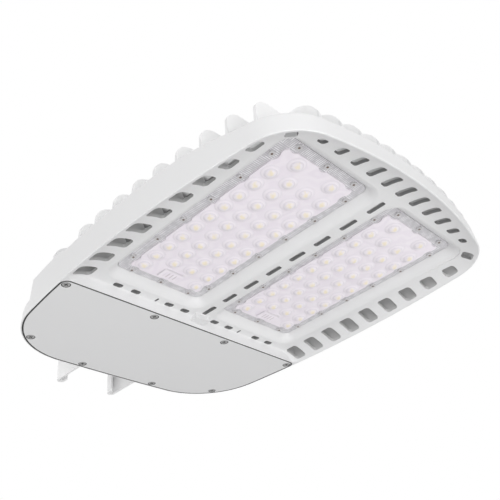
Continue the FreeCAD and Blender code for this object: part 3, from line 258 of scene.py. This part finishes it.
def field_material():
    """Clear lens field over the white board, with soft contours and the leads at the connector."""
    s = Shader("lens_field", (0.80, 0.76, 0.80), 0.2)
    flow = s.math("SINE", s.math("MULTIPLY", s.noise(40.0, 1.0), 30.0))
    clear = s.mix(s.step(flow, -1.0, 1.0), (0.95, 0.89, 0.96), (0.99, 0.935, 0.995))
    x, y, _ = s.axes()
    across = s.math("ABSOLUTE", s.math("SUBTRACT", s.math("ABSOLUTE", y), LENS_MID_Y))
    along = s.math("ABSOLUTE", s.math("SUBTRACT", x, GRID_X))
    leads = s.step(s.math("SINE", s.math("MULTIPLY", y, 2 * math.pi / LEAD_PITCH)), 0.2, 0.9)
    shown = s.math("MULTIPLY", s.step(across, 0.0070, 0.0095, 1.0, 0.0),
                   s.step(along, 0.0030, 0.0050, 1.0, 0.0))
    faint = s.math("MULTIPLY", leads, s.math("MULTIPLY", shown, 0.45))
    s.color(s.mix(faint, clear, (0.42, 0.34, 0.36)))
    s.bump(s.noise(500.0), 0.06, 0.0002, s.board_normal(0.6))
    return s.mat


def flange_material():
    """Clear flange with fine moulded ribs across its edge, over the grey gasket."""
    s = Shader("lens_flange", (0.6, 0.59, 0.61), 0.22)
    x, y, _ = s.axes()
    near_end = s.math("GREATER_THAN", s.math("ABSOLUTE", s.math("SUBTRACT", x, LENS_MID_X)),
                      LENS_HALF_X - LENS_RIB_BAND)
    run = s.add("ShaderNodeMix", data_type="FLOAT")
    for source, socket in ((near_end, "Factor"), (x, 2), (y, 3)):
        s.plug(source, run.inputs[socket])
    wave = s.math("SINE", s.math("MULTIPLY", run.outputs[0], 2 * math.pi / RIB_PITCH))
    ribs = s.step(wave, -0.6, 0.9)
    cloud = s.step(s.noise(150.0), 0.35, 0.65)
    mottle = s.mix(cloud, (0.66, 0.645, 0.675), (0.97, 0.955, 0.985))
    s.color(s.mix(ribs, (0.57, 0.56, 0.585), mottle))
    s.bump(ribs, 0.25, 0.0003)
    return s.mat


# Which faces of a CAD node take which material
def face_arrays(obj):
    count = len(obj.data.polygons)
    centres = np.zeros(count * 3)
    normals = np.zeros(count * 3)
    obj.data.polygons.foreach_get("center", centres)
    obj.data.polygons.foreach_get("normal", normals)
    return centres.reshape(-1, 3), normals.reshape(-1, 3)


def dress(node, materials, indices=None):
    mesh = nodes[node].data
    mesh.materials.clear()
    for mat in materials:
        mesh.materials.append(mat)
    if indices is not None:
        mesh.polygons.foreach_set("material_index", np.asarray(indices, np.int32))
        mesh.update()


def corner_centre():
    """Centre of the plan corner that rounds a side arc into the front arc."""
    front = Vector((FRONT_X - FRONT_ARC_R, 0))
    side = Vector((WIDEST_X, HALF_WIDTH - SIDE_ARC_R))
    reach_front, reach_side = FRONT_ARC_R - CORNER_R, SIDE_ARC_R - CORNER_R
    line = side - front
    along = (reach_front ** 2 - reach_side ** 2 + line.length ** 2) / (2 * line.length)
    off = math.sqrt(reach_front ** 2 - along ** 2)
    unit = line.normalized()
    return front + unit * along + Vector((-unit.y, unit.x)) * off


def plan_inset(x, y):
    """How far points lie inside the housing's outline."""
    y = np.abs(y)
    front = FRONT_ARC_R - np.hypot(x - (FRONT_X - FRONT_ARC_R), y)
    side = SIDE_ARC_R - np.hypot(x - WIDEST_X, y - (HALF_WIDTH - SIDE_ARC_R))
    inset = np.minimum(front, side)
    centre = corner_centre()
    dx, dy = x - centre.x, y - centre.y
    to_front = centre - Vector((FRONT_X - FRONT_ARC_R, 0))
    to_side = centre - Vector((WIDEST_X, HALF_WIDTH - SIDE_ARC_R))
    past_front = to_front.x * dy - to_front.y * dx > 0
    past_side = to_side.x * dy - to_side.y * dx < 0
    return np.where(past_front & past_side, CORNER_R - np.hypot(dx, dy), inset)


def housing_faces():
    """0 painted outside; painted shade on 1 edges of the vents, 2 gaps between the fins, 3 both
    along the sides.
    """
    centres, normals = face_arrays(nodes["housing"])
    x, y, z = centres.T
    inset = plan_inset(x, y)
    run = DISH_RUN - RIM_LAND
    radius = (run ** 2 + FACE_Z ** 2) / (2 * FACE_Z)
    ahead = np.clip(DISH_RUN - inset, 0, run)
    dish = FACE_Z - radius + np.sqrt(radius ** 2 - ahead ** 2)
    in_window = ((np.abs(x - LENS_MID_X) < LENS_HALF_X + BORDER)
                 & (np.abs(np.abs(y) - LENS_MID_Y) < LENS_HALF_Y + BORDER) & (z < SEAT_Z))
    upward = normals[:, 2] > 0.5
    behind = (x > COVER_X + 10 * SKIN) & (inset > WALL_INSET) & (z > dish + 4 * SKIN)
    deep = behind & ~in_window & ~upward
    kind = np.where(deep, np.where(z < dish + FACE_T + 2 * SKIN, 1, 2), 0)
    return np.where(deep & (x < LENS_HI.x) & (inset < DISH_RUN), 3, kind)


def lens_faces(node):
    """0 flange, 1 field and hood, 2 domes of the grid, 3 the two front domes."""
    centres, _ = face_arrays(nodes[node])
    x, y, z = centres.T
    hood = (np.abs(x - GRID_X) < HOOD_HALF_X) & (np.abs(np.abs(y) - LENS_MID_Y) < HOOD_HALF_Y)
    dome = (z < FIELD_Z - SKIN / 2) & ~hood
    kind = np.where(dome, 2, np.where(z < FLANGE_Z - SKIN, 1, 0))
    return np.where(dome & (x > FRONT_LENS_X - ROW_PITCH / 2), 3, kind)


def head_centres(node):
    """Middle of each screw's lowest face."""
    points = np.array([v.co for v in nodes[node].data.vertices])
    low = points[points[:, 2] < points[:, 2].min() + SKIN / 10]
    heads = []
    while len(low):
        near = np.hypot(low[:, 0] - low[0, 0], low[:, 1] - low[0, 1]) < HEAD_REACH
        heads.append(Vector((low[near].min(0) + low[near].max(0)) / 2))
        low = low[~near]
    return heads


def cover_faces():
    """0 for the plate, 1 for the counterbores, which take painted shade."""
    centres, _ = face_arrays(nodes["driver_cover"])
    index = np.zeros(len(centres), int)
    for head in head_centres("cover_screws"):
        inside = np.hypot(centres[:, 0] - head.x, centres[:, 1] - head.y) < SINK_R
        index[inside & (centres[:, 2] > SKIN / 10)] = 1
    return index


# the vent edges and the gaps behind the face take painted shade
dress("housing", [white_paint, vent_shade_paint(), cavity_shade_paint("cavity_shade_paint", 0.56, 0.20),
                 cavity_shade_paint("side_gap_shade_paint", 0.54, 0.56)], housing_faces())
dress("mount_bracket", [bracket_lit_paint])
dress("driver_cover", [cover_paint, counterbore_shade], cover_faces())
flange, field = flange_material(), field_material()
for side, sign in (("left", 1), ("right", -1)):
    middle = sign * LENS_MID_Y
    grid = lens_material("lens_grid_" + side, (GRID_X, middle - 1.5 * COLUMN_PITCH),
                         (ROW_PITCH, COLUMN_PITCH))
    front = lens_material("lens_front_" + side, (FRONT_LENS_X, middle - COLUMN_PITCH),
                          (ROW_PITCH, 2 * COLUMN_PITCH))
    plate = "lens_plate_" + side
    dress(plate, [flange, field, grid, front], lens_faces(plate))
    dress("lens_gasket_" + side, [silicone])
    dress("lens_screws_" + side, [bright_zinc])
    dress("led_board_" + side, [board_white])
    dress("led_chips_" + side, [phosphor])
    dress("board_connector_" + side, [pale_plastic])
    dress("lead_grommet_" + side, [black_rubber])
for node, mat in (("cover_gasket", black_rubber), ("cover_screws", zinc),
                  ("led_driver", driver_case), ("surge_protector", surge_case),
                  ("terminal_block", pale_plastic), ("driver_screws", steel),
                  ("surge_screws", steel), ("terminal_screws", steel),
                  ("cable_gland", black_plastic), ("gland_locknut", black_plastic),
                  ("bracket_bolts", steel), ("bracket_washers", steel)):
    dress(node, [mat])


# Dark inlays as painted shade in the drive recesses of the CAD model's screw heads
def add_prism(bm, outline, z0, z1):
    bottom = [bm.verts.new((x, y, z0)) for x, y in outline]
    top = [bm.verts.new((x, y, z1)) for x, y in outline]
    bm.faces.new(bottom[::-1])
    bm.faces.new(top)
    for k in range(len(outline)):
        n = (k + 1) % len(outline)
        bm.faces.new((bottom[k], bottom[n], top[n], top[k]))


def recesses(name, node, outline, mat):
    """One piece with a painted-shade inlay for the drive recess of every screw of a node, each
    turned by another angle.
    """
    bm = bmesh.new()
    for head in head_centres(node):
        turn = Matrix.Rotation(head.x * 37 + head.y * 53, 2)
        points = [turn @ Vector(p) for p in outline]
        add_prism(bm, [(head.x + p.x, head.y + p.y) for p in points],
                  head.z - RECESS_PROUD, head.z + RECESS_DEPTH)
    mesh = bpy.data.meshes.new(name)
    bm.to_mesh(mesh)
    bm.free()
    obj = bpy.data.objects.new(name, mesh)
    scene.collection.objects.link(obj)
    mesh.materials.append(mat)
    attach(obj, "root")


RECESS_PROUD, RECESS_DEPTH = 0.00006, 0.0003
ARM, BAR, HEX_R = 0.0024, 0.0006, 0.0013
cross = [(ARM, -BAR), (ARM, BAR), (BAR, BAR), (BAR, ARM), (-BAR, ARM), (-BAR, BAR),
         (-ARM, BAR), (-ARM, -BAR), (-BAR, -BAR), (-BAR, -ARM), (BAR, -ARM), (BAR, -BAR)]
hexagon = [(HEX_R * math.cos(k * math.pi / 3), HEX_R * math.sin(k * math.pi / 3))
           for k in range(6)]
recesses("cover_screw_recess_shade", "cover_screws", cross, recess_shade_black)
for side in ("left", "right"):
    recesses("lens_screw_recess_shade_" + side, "lens_screws_" + side, hexagon, recess_shade_brown)


# Stage: floor, studio light and camera
FLOOR_Z, FLOOR_R = -1.6, 40
FLOOR_GLOW = 0.4                       # seen only, lights nothing
WORLD_LIGHT, WORLD_SEEN = 0.57, 1.0
LAMP_SIZE = 1.6
LAMPS = (("key", (1.6, -1.6, -0.4), 19.0), ("front_low", (1.9, -0.3, -1.0), 7.0),
         ("under", (0.5, -0.6, -1.3), 7.0), ("right_low", (0.2, 1.6, -1.0), 4.0),
         ("rear", (-2.0, -0.8, 0.3), 11.0), ("top", (-0.8, 0.6, 1.2), 6.0))


def seen_rays(tree):
    """1 for rays that show the background: straight from the camera, mirrored or through glass."""
    paths = tree.nodes.new("ShaderNodeLightPath").outputs
    value = paths["Is Camera Ray"]
    for kind in ("Is Glossy Ray", "Is Transmission Ray"):
        node = tree.nodes.new("ShaderNodeMath")
        node.operation = "MAXIMUM"
        tree.links.new(value, node.inputs[0])
        tree.links.new(paths[kind], node.inputs[1])
        value = node.outputs[0]
    return value


# The floor lies far below, because the camera looks up at the object
bpy.ops.mesh.primitive_circle_add(vertices=128, radius=FLOOR_R, fill_type="NGON",
                                  location=(0, 0, FLOOR_Z))
floor = bpy.context.object
floor.name = "floor"
floor_paint = painted("floor_paint", (0.55, 0.55, 0.55), 0.8, grain=40.0)
floor_paint.bsdf.inputs["Emission Color"].default_value = (1, 1, 1, 1)
floor_paint.plug(floor_paint.math("MULTIPLY", seen_rays(floor_paint.tree), FLOOR_GLOW),
                 floor_paint.bsdf.inputs["Emission Strength"])
floor.data.materials.append(floor_paint.mat)

world = bpy.data.worlds.new("studio")
scene.world = world
world.use_nodes = True
tree = world.node_tree
background = tree.nodes["Background"]
background.inputs["Color"].default_value = (1, 1, 1, 1)
level = tree.nodes.new("ShaderNodeMapRange")
level.inputs["To Min"].default_value = WORLD_LIGHT
level.inputs["To Max"].default_value = WORLD_SEEN
tree.links.new(seen_rays(tree), level.inputs["Value"])
tree.links.new(level.outputs[0], background.inputs["Strength"])


def area_light(name, location, power):
    """Soft round lamp, aimed at the object."""
    data = bpy.data.lights.new(name, "AREA")
    data.shape = "DISK"
    data.size = LAMP_SIZE
    data.energy = power
    light = bpy.data.objects.new(name, data)
    light.location = location
    light.rotation_euler = (-Vector(location)).to_track_quat("-Z", "Y").to_euler()
    light.visible_camera = False
    scene.collection.objects.link(light)


for lamp in LAMPS:
    area_light(*lamp)

# Camera of the photograph
camera = bpy.data.objects.new("camera", bpy.data.cameras.new("camera"))
right = Vector((0.70751, 0.69897, -0.10426))
up = Vector((0.46386, -0.34801, 0.81469))
forward = Vector((-0.53316, 0.62476, 0.57045))
turn = Matrix((right, up, -forward)).transposed()
camera.matrix_world = Matrix.Translation((0.4560, -0.47468, -0.3788)) @ turn.to_4x4()
camera.data.lens = 48.524
camera.data.sensor_width = 36
camera.data.clip_start, camera.data.clip_end = 0.01, 50
scene.collection.objects.link(camera)
scene.camera = camera
scene.view_settings.view_transform = "Standard"
